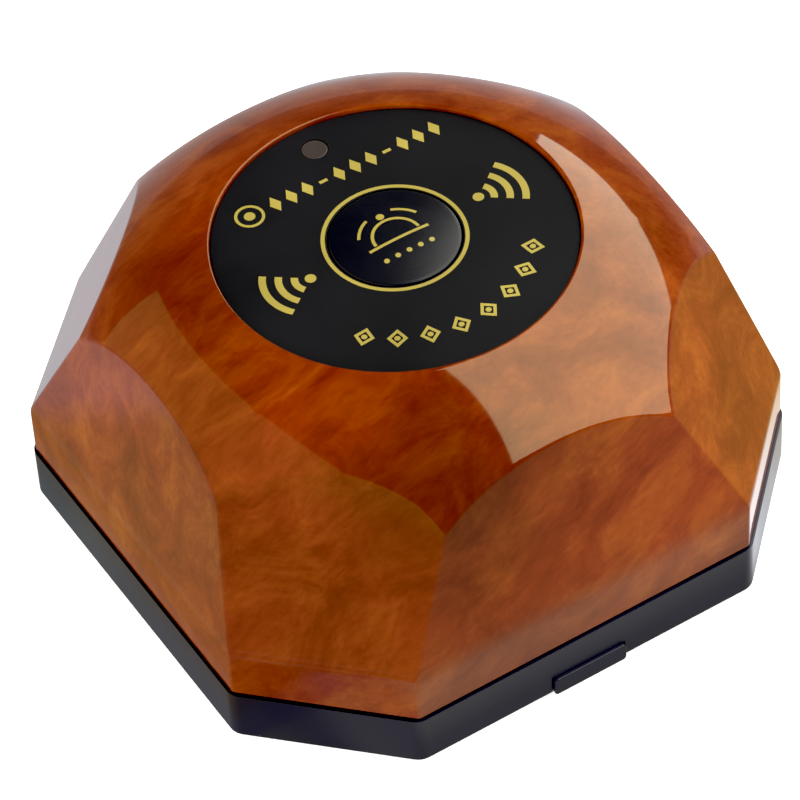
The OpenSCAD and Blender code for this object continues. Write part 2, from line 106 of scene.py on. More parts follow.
def stage_sheet(name, corners, grey, glow):
    """A flat sheet that only shows from its front: its grey and its own glow."""
    sheet = bmesh.new()
    sheet.faces.new([sheet.verts.new(p) for p in corners])
    data = bpy.data.meshes.new(name)
    sheet.to_mesh(data)
    sheet.free()
    made = bpy.data.objects.new(name, data)
    bpy.context.scene.collection.objects.link(made)
    finish = bpy.data.materials.new(name)
    finish.use_nodes = True
    tree = finish.node_tree
    shader = tree.nodes["Principled BSDF"]
    shader.inputs["Base Color"].default_value = (grey, grey, grey, 1)
    shader.inputs["Roughness"].default_value = 0.9
    shader.inputs["Specular IOR Level"].default_value = 0
    shader.inputs["Emission Color"].default_value = (*glow, 1)
    shader.inputs["Emission Strength"].default_value = 1
    open_back = tree.nodes.new("ShaderNodeBsdfTransparent")
    side = tree.nodes.new("ShaderNodeNewGeometry")
    mix = tree.nodes.new("ShaderNodeMixShader")
    tree.links.new(side.outputs["Backfacing"], mix.inputs["Fac"])
    tree.links.new(shader.outputs["BSDF"], mix.inputs[1])
    tree.links.new(open_back.outputs["BSDF"], mix.inputs[2])
    tree.links.new(mix.outputs["Shader"], tree.nodes["Material Output"].inputs["Surface"])
    data.materials.append(finish)
    return made


panel_right = stage_sheet("panel_right", [(0.12, -0.60, 0.69), (0.12, 0.11, 0.69),
                                          (0.65, 0.60, 0.26), (0.65, -0.60, 0.26)],
                          grey=0, glow=(4.4, 4.35, 3.9))
panel_left = stage_sheet("panel_left", [(-0.75, 1.25, 0.10), (-0.42, 1.25, 0.70),
                                        (-0.42, -0.70, 0.70), (-0.75, -0.70, 0.10)],
                         grey=0, glow=(0.92, 0.78, 0.36))
card_front = stage_sheet("card_front", [(-0.48, -1.06, 0), (-1.16, -0.08, 0),
                                        (-1.16, -0.08, 0.27), (-0.48, -1.06, 0.27)],
                         grey=0, glow=(0.56, 0.52, 0.34))
for sheet in (panel_right, panel_left, card_front):
    sheet.visible_camera = False
    sheet.visible_shadow = False


def soft_lamp(name, at, size, energy):
    """A round lamp that faces the object and leaves no glint of its own."""
    data = bpy.data.lights.new(name, "AREA")
    data.shape = "DISK"
    data.size = size
    data.energy = energy
    lamp = bpy.data.objects.new(name, data)
    lamp.location = at
    lamp.rotation_euler = (-lamp.location).to_track_quat("-Z", "Y").to_euler()
    lamp.visible_glossy = False
    bpy.context.scene.collection.objects.link(lamp)


soft_lamp("fill", (-0.95, -0.30, 0.42), size=0.7, energy=11)
soft_lamp("under", (0, 0, -0.45), size=0.12, energy=5)


def grow(tree, kind, inputs, **settings):
    """A new node. An input is a value, or another node's output to link."""
    made = tree.nodes.new("ShaderNode" + kind)
    for setting, value in settings.items():
        setattr(made, setting, value)
    for socket, value in inputs.items():
        if isinstance(value, bpy.types.NodeSocket):
            tree.links.new(value, made.inputs[socket])
        else:
            made.inputs[socket].default_value = value
    return made


def ramp(tree, factor, *stops):
    """A colour ramp through (position, colour) stops."""
    made = grow(tree, "ValToRGB", {"Fac": factor})
    points = made.color_ramp.elements
    while len(points) < len(stops):
        points.new(0.5)
    for point, (position, colour) in zip(points, stops):
        point.position = position
        point.color = (*colour, 1)
    return made.outputs["Color"]


def feed(material, socket, value):
    """Links an output to a socket of the material's shader."""
    shader = material.node_tree.nodes["Principled BSDF"]
    material.node_tree.links.new(value, shader.inputs[socket])


world = bpy.data.worlds.new("studio")
world.use_nodes = True
tree = world.node_tree
heading = grow(tree, "TexCoord", {}).outputs["Generated"]
upward = grow(tree, "SeparateXYZ", {"Vector": heading}).outputs["Z"]
haze = ramp(tree, upward, (0.0, (0.24, 0.24, 0.20)), (0.10, (0.17, 0.18, 0.13)),
            (0.30, (0.11, 0.13, 0.10)), (0.48, (0.02, 0.02, 0.02)))
seen = grow(tree, "LightPath", {}).outputs["Is Camera Ray"]
surround = grow(tree, "Mix", {"Factor": seen, "A": haze, "B": sky_white}, data_type="RGBA")
tree.links.new(surround.outputs["Result"], tree.nodes["Background"].inputs["Color"])
bpy.context.scene.world = world

table_corners = [(-table_half, -table_half), (table_half, -table_half),
                 (table_half, table_half), (-table_half, table_half)]
table = stage_sheet("table", [(x, y, table_z) for x, y in table_corners],
                    grey=0, glow=(1, 1, 1))
table.visible_camera = False
table.visible_shadow = False
tree = table.data.materials[0].node_tree
spot = grow(tree, "TexCoord", {}).outputs["Object"]
depth = grow(tree, "SeparateXYZ", {"Vector": spot})
# The glow from front to back, a shade along the left side and three round spots
behind = grow(tree, "MapRange", {"Value": depth.outputs["Y"], "From Min": table_near,
                                 "From Max": table_far})
glow = ramp(tree, behind.outputs["Result"],
            (0.02, (0.64, 0.64, 0.56)), (0.086, (0.95, 0.95, 0.80)), (0.10, (1.00, 1.00, 0.85)),
            (0.108, (0.44, 0.44, 0.42)), (0.122, (0.60, 0.58, 0.48)), (0.13, (0.25, 0.23, 0.21)),
            (0.15, (0.54, 0.52, 0.32)), (0.20, (0.60, 0.60, 0.34)), (0.23, (0.66, 0.69, 0.38)),
            (0.264, (0.55, 0.62, 0.36)), (0.282, (0.52, 0.62, 0.38)), (0.297, (0.70, 0.77, 0.84)),
            (0.36, (0.69, 0.74, 0.80)), (0.49, (0.56, 0.56, 0.55)), (1.0, (0.44, 0.44, 0.42)))
beside = grow(tree, "MapRange", {"Value": depth.outputs["X"], "From Min": table_shade_out,
                                 "From Max": table_shade_in})
shaded = ramp(tree, beside.outputs["Result"],
              (0.25, (1, 1, 1)), (0.52, (0.78, 0.58, 0.42)), (0.68, (0.66, 0.50, 0.45)),
              (0.78, (0.61, 0.62, 1.04)), (0.90, (0.61, 0.62, 1.04)), (0.98, (1, 1, 1)))
glow = grow(tree, "VectorMath", {0: glow, 1: shaded}, operation="MULTIPLY").outputs["Vector"]
for at, full, none, colour in ((glare_at, glare_in, glare_out, (1.65, 1.70, 1.80, 1)),
                               (bounce_at, bounce_in, bounce_out, (0.88, 0.64, 0.22, 1)),
                               (dusk_at, dusk_in, dusk_out, (0.46, 0.42, 0.30, 1))):
    aside = grow(tree, "VectorMath", {0: spot, 1: at}, operation="DISTANCE")
    near = grow(tree, "MapRange", {"Value": aside.outputs["Value"], "From Min": full,
                                   "From Max": none, "To Min": 1.0, "To Max": 0.0},
                interpolation_type="SMOOTHSTEP")
    glow = grow(tree, "Mix", {"Factor": near.outputs["Result"], "A": glow, "B": colour},
                data_type="RGBA").outputs["Result"]
feed(table.data.materials[0], "Emission Color", glow)
backdrop = stage_sheet("backdrop", [(x, y, backdrop_z) for x, y in table_corners],
                       backdrop_grey, backdrop_glow)
backdrop.visible_diffuse = False
backdrop.visible_glossy = False
backdrop.visible_transmission = False
backdrop.visible_shadow = False


# Foot pads: die-cut discs of grey-black rubber, glued into round seats under the base. The
# frame's solids are right, so only their edges are softened.
def paint(name, **sockets):
    """A new material, with the constant sockets of its Principled shader set."""
    made = bpy.data.materials.new(name)
    made.use_nodes = True
    shader = made.node_tree.nodes["Principled BSDF"]
    for socket, value in sockets.items():
        shader.inputs[socket.replace("_", " ")].default_value = value
    return made


def grain(tree, size, detail, stretch=(1, 1, 1)):
    """Noise on Object coordinates, with features of about the given size."""
    spot = grow(tree, "TexCoord", {}).outputs["Object"]
    scaled = grow(tree, "Mapping", {"Vector": spot, "Scale": stretch})
    return grow(tree, "TexNoise", {"Vector": scaled.outputs["Vector"], "Scale": 1 / size,
                                   "Detail": detail}).outputs["Fac"]


def emboss(material, height, depth):
    """Bump all over the surface, as deep as the given depth."""
    made = grow(material.node_tree, "Bump", {"Height": height, "Distance": depth})
    feed(material, "Normal", made.outputs["Normal"])


def moulded(name, colour, roughness, texture_size, texture_depth, **sockets):
    """Moulded plastic or rubber: a little uneven in colour and gloss, with a fine texture."""
    made = paint(name, **sockets)
    tree = made.node_tree
    cloud_size = 14 * mm
    colour_spread = 0.15
    gloss_spread = 0.05
    cloud = grain(tree, cloud_size, detail=3)
    darker = tuple(c * (1 - colour_spread) for c in colour)
    lighter = tuple(c * (1 + colour_spread) for c in colour)
    feed(made, "Base Color", ramp(tree, cloud, (0.3, darker), (0.7, lighter)))
    shiny = (roughness - gloss_spread,) * 3
    dull = (roughness + gloss_spread,) * 3
    feed(made, "Roughness", ramp(tree, cloud, (0.3, shiny), (0.7, dull)))
    emboss(made, grain(tree, texture_size, detail=3), texture_depth)
    return made


def dress(node, material):
    """Gives a solid of the frame its finish."""
    nodes[node].data.materials.clear()
    nodes[node].data.materials.append(material)


weld = 1e-6


def break_edges(node, width):
    """Rounds the sharp edges of a solid of the frame by modifiers."""
    piece = nodes[node]
    merge = piece.modifiers.new("merge", "WELD")
    merge.merge_threshold = weld
    flatten = piece.modifiers.new("flatten", "DECIMATE")
    flatten.decimate_type = "DISSOLVE"
    flatten.angle_limit = radians(0.5)
    edges = piece.modifiers.new("edges", "BEVEL")
    edges.width = width
    edges.segments = 3
    edges.limit_method = "ANGLE"
    edges.angle_limit = radians(35)
    normals = piece.modifiers.new("normals", "WEIGHTED_NORMAL")
    normals.keep_sharp = True


foot_rubber = moulded("foot_rubber", (0.03, 0.03, 0.032), 0.8, 0.5 * mm, 0.03 * mm)
dress("foot_pads", foot_rubber)
break_edges("foot_pads", 0.3 * mm)


# Base tray and battery door: the black case bottom and the lid of its battery bay, moulded in
# ABS with a fine spark-eroded texture. The lid's finger tab fills the notch in the front wall,
# and ridges under the lid give the thumb a grip.
def round_edges(mesh, width, segments=3, sharper_than=35):
    """Bevels every edge that is sharper than the given angle."""
    bmesh.ops.recalc_face_normals(mesh, faces=mesh.faces)
    sharp = [e for e in mesh.edges if e.calc_face_angle(0) > radians(sharper_than)]
    bmesh.ops.bevel(mesh, geom=sharp, offset=width, segments=segments, profile=0.5,
                    affect="EDGES", material=-1, clamp_overlap=True)


def place(name, mesh, material, body, sharp=50):
    """Makes a bmesh a piece that rides on a body, smooth but for its sharp edges."""
    for f in mesh.faces:
        f.smooth = True
    for e in mesh.edges:
        e.smooth = e.calc_face_angle(0) < radians(sharp)
    data = bpy.data.meshes.new(name)
    mesh.to_mesh(data)
    mesh.free()
    piece = bpy.data.objects.new(name, data)
    bpy.context.scene.collection.objects.link(piece)
    data.materials.append(material)
    normals = piece.modifiers.new("normals", "WEIGHTED_NORMAL")
    normals.keep_sharp = True
    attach(piece, body)
    return piece


base_black = moulded("base_black", (0.0112, 0.0112, 0.0240), 0.28, 0.35 * mm, 0.010 * mm,
                     Specular_Tint=(0.90, 0.90, 1, 1))
for node in ("base_tray", "battery_door"):
    dress(node, base_black)
    break_edges(node, 0.2 * mm)
grip_ridges = 4
grip_step = 1.5 * mm
grip_size = (8 * mm, 0.7 * mm, 0.7 * mm)
grip_round = 0.2 * mm
grip_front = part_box("battery_cell")[0].y - 1.5 * mm
door_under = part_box("battery_door")[0].z + 0.1 * mm
grip = bmesh.new()
for i in range(grip_ridges):
    ridge_at = Matrix.Translation((0, grip_front + i * grip_step, door_under + 0.1 * mm))
    bmesh.ops.create_cube(grip, size=1, matrix=ridge_at @ Matrix.Diagonal((*grip_size, 1)))
round_edges(grip, grip_round)
place("door_grip", grip, base_black, "door")

tab_size = (11.04 * mm, 1.4 * mm, 2.85 * mm)
tab_corner = 0.5 * mm
tab_round = 0.18 * mm
tab_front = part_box("battery_door")[0].y + 0.01 * mm
tab_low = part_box("base_tray")[0].z - 0.35 * mm
tab = bmesh.new()
tab_at = Matrix.Translation((0, tab_front + tab_size[1] / 2, tab_low + tab_size[2] / 2))
bmesh.ops.create_cube(tab, size=1, matrix=tab_at @ Matrix.Diagonal((*tab_size, 1)))
deep_edges = [e for e in tab.edges if abs(e.verts[0].co.y - e.verts[1].co.y) > tab_size[1] / 2]
bmesh.ops.bevel(tab, geom=deep_edges, offset=tab_corner, segments=4, profile=0.5,
                affect="EDGES", material=-1)
round_edges(tab, tab_round)
place("door_tab", tab, base_black, "door")


# Battery and its contacts: a small cylindrical cell in a printed sleeve, between a tinned sheet
# contact and a conical spring. Two thin leads run from the contacts' tails up to the board.
def metal(name, colour, roughness):
    """Plated or drawn metal with faint scratches."""
    made = paint(name, Metallic=1.0)
    tree = made.node_tree
    scratch_size = 1.5 * mm
    scratch = grain(tree, scratch_size, detail=4, stretch=(1, 1, 0.15))
    dim = tuple(c * 0.8 for c in colour)
    feed(made, "Base Color", ramp(tree, scratch, (0.3, dim), (0.7, colour)))
    shiny = (roughness * 0.7,) * 3
    dull = (roughness * 1.4,) * 3
    feed(made, "Roughness", ramp(tree, scratch, (0.3, shiny), (0.7, dull)))
    return made


def smooth_tube(node):
    """Rounds a six- or eight-sided tube of the frame."""
    piece = nodes[node]
    merge = piece.modifiers.new("merge", "WELD")
    merge.merge_threshold = weld
    rounder = piece.modifiers.new("round", "SUBSURF")
    rounder.levels = 2
    rounder.render_levels = 2


tin_plate = metal("tin_plate", (0.72, 0.72, 0.70), 0.28)
for node in ("spring_plate", "contact_plate"):
    dress(node, tin_plate)
    break_edges(node, 0.08 * mm)
dress("contact_spring", tin_plate)
smooth_tube("contact_spring")
red_wire = moulded("red_wire", (0.45, 0.02, 0.015), 0.4, 0.6 * mm, 0.005 * mm)
black_wire = moulded("black_wire", (0.012, 0.012, 0.013), 0.4, 0.6 * mm, 0.005 * mm)
dress("lead_plus", red_wire)
dress("lead_minus", black_wire)
smooth_tube("lead_plus")
smooth_tube("lead_minus")


def turn(mesh, profile, at, steps, axis=(0, 0, 1), start=(1, 0, 0)):
    """Spins a profile of (radius, along) points about an axis through a point."""
    spin_axis = Vector(axis)
    out = Vector(start)
    points = [mesh.verts.new(Vector(at) + out * r + spin_axis * z) for r, z in profile]
    lines = [mesh.edges.new(pair) for pair in zip(points, points[1:])]
    bmesh.ops.spin(mesh, geom=points + lines, cent=at, axis=axis, dvec=(0, 0, 0),
                   angle=2 * pi, steps=steps, use_merge=True, use_duplicate=False)
    bmesh.ops.remove_doubles(mesh, verts=mesh.verts, dist=1e-7)


cell_low, cell_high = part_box("battery_cell")
cell_r = (cell_high.z - cell_low.z) / 2
cell_len = cell_high.x - cell_low.x
cell_at = Vector((cell_low.x, (cell_low.y + cell_high.y) / 2, (cell_low.z + cell_high.z) / 2))
cell_nub = 1.5 * mm
cell_nub_r = 2.7 * mm
cell_crimp = 0.6 * mm
cell_stripe = 5 * mm
cell_shoulder = cell_len - cell_nub
cell_round = 0.12 * mm
cell_end_r = cell_r * 0.72
cell_groove_r = cell_r * 0.76
cell_bead_r = cell_r * 0.9
cell_brow_r = cell_r * 0.92
cell_collar_r = cell_r * 0.74
cell = bmesh.new()
turn(cell, [(0, 0), (cell_end_r, 0), (cell_groove_r, cell_crimp), (cell_bead_r, cell_crimp / 2),
            (cell_r, cell_crimp), (cell_r, cell_shoulder - cell_crimp),
            (cell_brow_r, cell_shoulder), (cell_collar_r, cell_shoulder - cell_crimp / 2),
            (cell_nub_r, cell_shoulder - cell_crimp / 2), (cell_nub_r, cell_len - cell_crimp / 2),
            (cell_nub_r - cell_crimp, cell_len), (0, cell_len)],
     cell_at, steps=64, axis=(1, 0, 0), start=(0, 0, 1))
round_edges(cell, cell_round, segments=2)
sleeve = moulded("cell_sleeve", (0.35, 0.36, 0.38), 0.3, 1 * mm, 0.004 * mm)
tree = sleeve.node_tree
place_x = grow(tree, "SeparateXYZ", {"Vector": grow(tree, "TexCoord", {}).outputs["Object"]})
along = grow(tree, "MapRange", {"Value": place_x.outputs["X"], "From Min": cell_low.x,
                                "From Max": cell_high.x})
edge = 0.001
sleeve_at = 0.035
sleeve_to = 0.925
stripe_at = 1 - (cell_nub + 2 * cell_stripe) / cell_len
stripe_to = stripe_at + cell_stripe / cell_len
bare_end = (0.62, 0.62, 0.60)
sleeve_grey = (0.20, 0.21, 0.22)
stripe_blue = (0.02, 0.10, 0.35)
feed(sleeve, "Base Color", ramp(
    tree, along.outputs["Result"],
    (sleeve_at, bare_end), (sleeve_at + edge, sleeve_grey),
    (stripe_at, sleeve_grey), (stripe_at + edge, stripe_blue),
    (stripe_to, stripe_blue), (stripe_to + edge, sleeve_grey),
    (sleeve_to, sleeve_grey), (sleeve_to + edge, bare_end)))
cell_piece = place("cell", cell, sleeve, "housing")
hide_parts("battery_cell")


# Circuit board: a round of glass-epoxy board under green solder mask, with tinned leads, and
# the parts that are soldered on it. It hangs on four screws under the shell's roof.
track_step = 3 * mm
board_green = paint("board_green", Roughness=0.35)
tree = board_green.node_tree
track = grow(tree, "TexVoronoi", {"Vector": grow(tree, "TexCoord", {}).outputs["Object"],
                                  "Scale": 1 / track_step},
             feature="DISTANCE_TO_EDGE", distance="CHEBYCHEV")
feed(board_green, "Base Color", ramp(tree, track.outputs["Distance"],
                                     (0.06, (0.02, 0.16, 0.05)), (0.10, (0.01, 0.09, 0.03))))
dress("circuit_board", board_green)
black_resin = moulded("black_resin", (0.014, 0.014, 0.015), 0.5, 0.3 * mm, 0.006 * mm)
for node in ("switch_body", "encoder_chip", "chip_resistors"):
    dress(node, black_resin)
for node in ("switch_cover", "switch_pins", "led_leads", "encoder_pins", "resonator_can"):
    dress(node, tin_plate)
stem_white = moulded("stem_white", (0.75, 0.72, 0.66), 0.45, 0.4 * mm, 0.005 * mm)
dress("switch_stem", stem_white)
red_lens = moulded("red_lens", (0.5, 0.02, 0.01), 0.12, 2 * mm, 0.002 * mm,
                   Transmission_Weight=0.5)
dress("status_led", red_lens)
copper_wire = metal("copper_wire", (0.72, 0.33, 0.14), 0.3)
dress("antenna_coil", copper_wire)
smooth_tube("antenna_coil")
blue_sleeve = moulded("blue_sleeve", (0.012, 0.03, 0.12), 0.35, 1 * mm, 0.004 * mm)
dress("capacitor", blue_sleeve)
zinc = metal("zinc_plate", (0.62, 0.62, 0.60), 0.32)


def cross_screw(mesh, at, head_r, head_h, shank_r, length):
    """A pan-head screw that points up from its seat, with a cross recess in its head."""
    pitch = 0.7 * shank_r
    turns = int(length / pitch) - 2
    thread = [(shank_r * (1 if i % 2 else 0.8), pitch * (1 + i / 2)) for i in range(2 * turns)]
    head = [(0, -head_h), (0.62 * head_r, -head_h), (0.88 * head_r, -0.86 * head_h),
            (head_r, -0.5 * head_h), (head_r, 0), (shank_r, 0)]
    turn(mesh, head + thread + [(0, length)], at, steps=32)
    long = 0.5 * head_r
    wide = 0.13 * head_r
    recess_depth = 0.6 * head_h
    recess_taper = 0.7
    for axis in (Vector((1, 0, 0)), Vector((0, 1, 0))):
        for offset in (-long, -wide, wide, long):
            flat = [f for f in mesh.faces if (f.calc_center_median() - at).length < 1.5 * head_r
                    and all(v.co.z < at.z - head_h + 1e-7 for v in f.verts)]
            edges = {e for f in flat for e in f.edges}
            points = {v for f in flat for v in f.verts}
            bmesh.ops.bisect_plane(mesh, geom=flat + list(edges) + list(points), dist=1e-8,
                                   plane_co=at + axis * offset, plane_no=axis)
    cross = []
    for f in mesh.faces:
        spot = f.calc_center_median() - at
        near, far = sorted((abs(spot.x), abs(spot.y)))
        if near < wide and far < long and all(v.co.z < at.z - head_h + 1e-7 for v in f.verts):
            cross.append(f)
    sunk = bmesh.ops.extrude_face_region(mesh, geom=cross)["geom"]
    floor = [v for v in sunk if isinstance(v, bmesh.types.BMVert)]
    bmesh.ops.translate(mesh, vec=(0, 0, recess_depth), verts=floor)
    bmesh.ops.scale(mesh, vec=(recess_taper, recess_taper, 1), space=Matrix.Translation(-at),
                    verts=floor)
    bmesh.ops.delete(mesh, geom=cross, context="FACES")
    bmesh.ops.recalc_face_normals(mesh, faces=mesh.faces)


board_low, board_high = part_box("circuit_board")
board_screw_low, board_screw_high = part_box("board_screws")
board_screw_head_r = 1.9 * mm
board_shank_r = 0.95 * mm
board_screw_x = board_screw_high.x - board_screw_head_r
board_screw_y = board_screw_high.y - board_screw_head_r
board_screws = bmesh.new()
for x in (-board_screw_x, board_screw_x):
    for y in (-board_screw_y, board_screw_y):
        cross_screw(board_screws, Vector((x, y, board_low.z)), board_screw_head_r,
                    board_low.z - board_screw_low.z, board_shank_r,
                    board_screw_high.z - board_low.z)
board_screw_piece = place("board_cross_screws", board_screws, zinc, "housing",
                          sharp=30)
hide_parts("board_screws")


# Top shell: a thin dome moulded in ABS, with upright flats at its foot that ease into eight
# leaning facets, and a round recess for the label. A marbled amber film under clear lacquer
# covers it; its larger clouds are partly marbling and partly painted light and shade.
shell_low, shell_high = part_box("top_shell")
label_low, label_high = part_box("label_disc")
base_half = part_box("base_tray")[1].x
flat_long = shell_high.x
step_back = base_half - flat_long
corner_flat = 24.65 * mm
flat_short = base_half * sqrt(2) - corner_flat / 2 - step_back
band_foot = shell_low.z - 0.1 * mm
band_top = shell_low.z + 7.4 * mm
long_lean = radians(14.8)
short_lean = radians(27)
long_ease = 1.6 * mm
short_ease = 0.7 * mm
dome_r = 35.05 * mm
dome_axis_r = flat_long - 27.95 * mm
dome_axis_z = band_top - 4.4 * mm
shell_wall = 2.2 * mm
roof_wall = 2.2 * mm
lip_wall = 1.1 * mm
lip_top = shell_low.z + 2.3 * mm
recess_r = label_high.x + 0.10 * mm
roof_top = label_low.z
roof_low = roof_top - roof_wall
pad_bore_r = 8.75 * mm
long_columns = 24
short_columns = 14
ease_rows = 10
facet_rows = 10
dome_rows = 24
inner_rows = 8
crease_round = 0.30 * mm
foot_round = 0.12 * mm
rim_round = 0.42 * mm


def lean_in(rise, tilt, ease):
    """How far a facet has leaned in at a rise above its break, which an arc eases."""
    radius = ease / tan(tilt / 2)
    if rise <= -ease:
        return 0
    if rise >= ease * cos(tilt):
        return rise * tan(tilt)
    return radius - sqrt(radius ** 2 - (rise + ease) ** 2)


def facet_point(side, across, height, inset):
    """Point on a facet in the facet's own frame; across runs from -1 to 1 at its edges."""
    reach = []
    for flat, tilt, ease in ((flat_long, long_lean, long_ease),
                             (flat_short, short_lean, short_ease)):
        lower = inset * tan(tilt / 2)
        reach.append(flat - inset - lean_in(height - band_top + lower, tilt, ease - lower))
    out, other = reach if side % 2 == 0 else reversed(reach)
    return Vector((out, across * (other * sqrt(2) - out), height))


def arch_point(side, across, inset):
    """Where the line up a facet meets the dome."""
    low = dome_axis_z + dome_r / 2
    high = dome_axis_z + dome_r - inset
    for halving in range(40):
        height = (low + high) / 2
        point = facet_point(side, across, height, inset)
        if hypot(hypot(point.x, point.y) - dome_axis_r, height - dome_axis_z) < dome_r - inset:
            low = height
        else:
            high = height
    return facet_point(side, across, low, inset)


def ring_point(heading, radius, height):
    """Point on a ring about the shell's axis."""
    return Vector((radius * cos(heading), radius * sin(heading), height))


def dome_line(heading, start, stop, rows, inset):
    """Points up or down the dome between two angles, without the last one."""
    angles = [start + (stop - start) * i / rows for i in range(rows)]
    return [ring_point(heading, dome_axis_r + (dome_r - inset) * cos(a),
                       dome_axis_z + (dome_r - inset) * sin(a)) for a in angles]


def facet_line(side, across, inset, arch):
    """Points up a facet from the upright flat to its arch."""
    eased = [band_top + long_ease * (2 * i / ease_rows - 1) for i in range(ease_rows + 1)]
    line = [facet_point(side, across, z, inset) for z in eased]
    return line + [line[-1].lerp(arch, i / facet_rows) for i in range(1, facet_rows + 1)]


def shell_section(side, across):
    """One upright section of the shell as a closed loop, outside first."""
    arch = arch_point(side, across, 0)
    heading = atan2(arch.y, arch.x)
    start = atan2(arch.z - dome_axis_z, hypot(arch.x, arch.y) - dome_axis_r)
    stop = acos((recess_r - dome_axis_r) / dome_r)
    rim_z = dome_axis_z + dome_r * sin(stop)
    outside = [facet_point(side, across, band_foot, 0)]
    outside += facet_line(side, across, 0, arch)
    outside += dome_line(heading, start, stop, dome_rows, 0)[1:]
    roof = [ring_point(heading, recess_r, rim_z), ring_point(heading, recess_r, roof_top),
            ring_point(heading, pad_bore_r, roof_top), ring_point(heading, pad_bore_r, roof_low)]
    arch = arch_point(side, across, shell_wall)
    heading = atan2(arch.y, arch.x)
    start = asin((roof_low - dome_axis_z) / (dome_r - shell_wall))
    stop = atan2(arch.z - dome_axis_z, hypot(arch.x, arch.y) - dome_axis_r)
    inside = dome_line(heading, start, stop, inner_rows, shell_wall)
    inside += reversed(facet_line(side, across, shell_wall, arch))
    lip = [facet_point(side, across, lip_top, shell_wall),
           facet_point(side, across, lip_top, lip_wall),
           facet_point(side, across, band_foot, lip_wall)]
    return outside + roof + inside + lip


columns = []
for side in range(8):
    count = long_columns if side % 2 == 0 else short_columns
    turned = Matrix.Rotation(radians(45 * side), 3, "Z")
    for i in range(count):
        columns.append([turned @ p for p in shell_section(side, 2 * i / count - 1)])
column_count = len(columns)
row_count = len(columns[0])
creases = [side // 2 * (long_columns + short_columns) + side % 2 * long_columns
           for side in range(8)]
arch_row = 1 + ease_rows + facet_rows
rim_row = arch_row + dome_rows

shell = bmesh.new()
column_of = shell.verts.layers.int.new("column")
row_of = shell.verts.layers.int.new("row")
bmesh.ops.create_grid(shell, x_segments=column_count, y_segments=row_count, size=0.5)
for v in shell.verts:
    v[column_of] = round((v.co.x + 0.5) * column_count) % column_count
    v[row_of] = round((v.co.y + 0.5) * row_count) % row_count
    v.co = columns[v[column_of]][v[row_of]]
bmesh.ops.remove_doubles(shell, verts=shell.verts, dist=1e-7)
bmesh.ops.recalc_face_normals(shell, faces=shell.faces)


def round_rows(rows, up_creases, width, segments):
    """Rounds the shell's edges along the given rows, and up its creases."""
    rounded = []
    for e in shell.edges:
        a, b = e.verts
        along_row = a[row_of] == b[row_of] and a[row_of] in rows
        up_crease = (a[column_of] == b[column_of] and a[column_of] in creases
                     and max(a[row_of], b[row_of]) <= arch_row)
        if along_row or up_creases and up_crease:
            rounded.append(e)
    bmesh.ops.bevel(shell, geom=rounded, offset=width, segments=segments, profile=0.5,
                    affect="EDGES", material=-1, clamp_overlap=True)


round_rows([rim_row], False, rim_round, segments=4)
round_rows([0], False, foot_round, segments=2)
round_rows([arch_row], True, crease_round, segments=3)

film_lean = (0, -0.46, 0)
burl_size = 8 * mm
burl_stretch = (1.5, 1, 1)
streak_size = 0.7 * mm
streak_stretch = (3.5, 1, 1)
amber = paint("amber_film", Roughness=0.05, IOR=1.5, Specular_Tint=(0.95, 0.93, 0.62, 1))
tree = amber.node_tree
spot = grow(tree, "TexCoord", {}).outputs["Object"]
flow = grow(tree, "Mapping", {"Vector": spot, "Rotation": film_lean, "Scale": burl_stretch},
            vector_type="TEXTURE")
burl = grow(tree, "TexNoise", {"Vector": flow.outputs["Vector"], "Scale": 1 / burl_size,
                               "Detail": 6.0, "Roughness": 0.62, "Distortion": 0.9}).outputs["Fac"]
cloud = ramp(tree, burl, (0.30, (0.131, 0.0170, 0.0065)), (0.48, (0.181, 0.0290, 0.0095)),
             (0.70, (0.259, 0.0575, 0.0130)))
brushed = grow(tree, "Mapping", {"Vector": spot, "Rotation": film_lean, "Scale": streak_stretch},
               vector_type="TEXTURE")
streak = grow(tree, "TexNoise", {"Vector": brushed.outputs["Vector"], "Scale": 1 / streak_size,
                                 "Detail": 4.0, "Distortion": 0.4}).outputs["Fac"]
mottle = ramp(tree, streak, (0.25, (0.87, 0.85, 0.84)), (0.75, (1.13, 1.15, 1.16)))
mottled = grow(tree, "Mix", {"Factor": 1.0, "A": cloud, "B": mottle},
               data_type="RGBA", blend_type="MULTIPLY")
# The larger clouds, part marbling and part painted light and shade: the place and the reach of
# each in millimetres, and its change in lightness
swirl_drift = 9 * mm
swirls_and_painted_light = (((-16, -34, 38), 14, -0.48), ((-24, 7, 45), 13, -0.25), ((-8, -40, 27), 10, -0.20),
          ((-37, -21, 30), 8, -0.20), ((-41, 1, 23), 7, -0.25), ((17, -41, 23), 15, 0.45),
          ((-39, 8, 31), 12, 0.25), ((-21, 22, 43), 12, 0.20), ((-33, -35, 17), 9, -0.15),
          ((-33, -9, 39), 6, -0.20), ((-5, -41, 24), 9, 0.28), ((-31, -30, 26), 8, -0.18),
          ((-32, -17, 39), 8, 0.22), ((-25, 27, 39), 8, -0.28), ((25, -29, 34), 8, 0.25),
          ((29, -34, 24), 7, -0.18), ((-23, -21, 42), 7, 0.12), ((30, -15, 41), 5, -0.20))
wander = grow(tree, "TexNoise", {"Vector": spot, "Scale": 1 / swirl_drift, "Detail": 5.0})
drifted = grow(tree, "VectorMath", {0: wander.outputs["Color"], 1: (2 * swirl_drift,) * 3,
                                    2: spot}, operation="MULTIPLY_ADD").outputs["Vector"]
shade = 1.0
for at, reach, change in swirls_and_painted_light:
    middle = Vector(at) * mm + Vector((swirl_drift,) * 3)
    away = grow(tree, "VectorMath", {0: drifted, 1: middle}, operation="DISTANCE")
    near = grow(tree, "MapRange", {"Value": away.outputs["Value"], "From Min": 0.0,
                                   "From Max": 1.5 * reach * mm, "To Min": change, "To Max": 0.0},
                interpolation_type="SMOOTHSTEP")
    shade = grow(tree, "Math", {0: shade, 1: near.outputs["Result"]}).outputs["Value"]
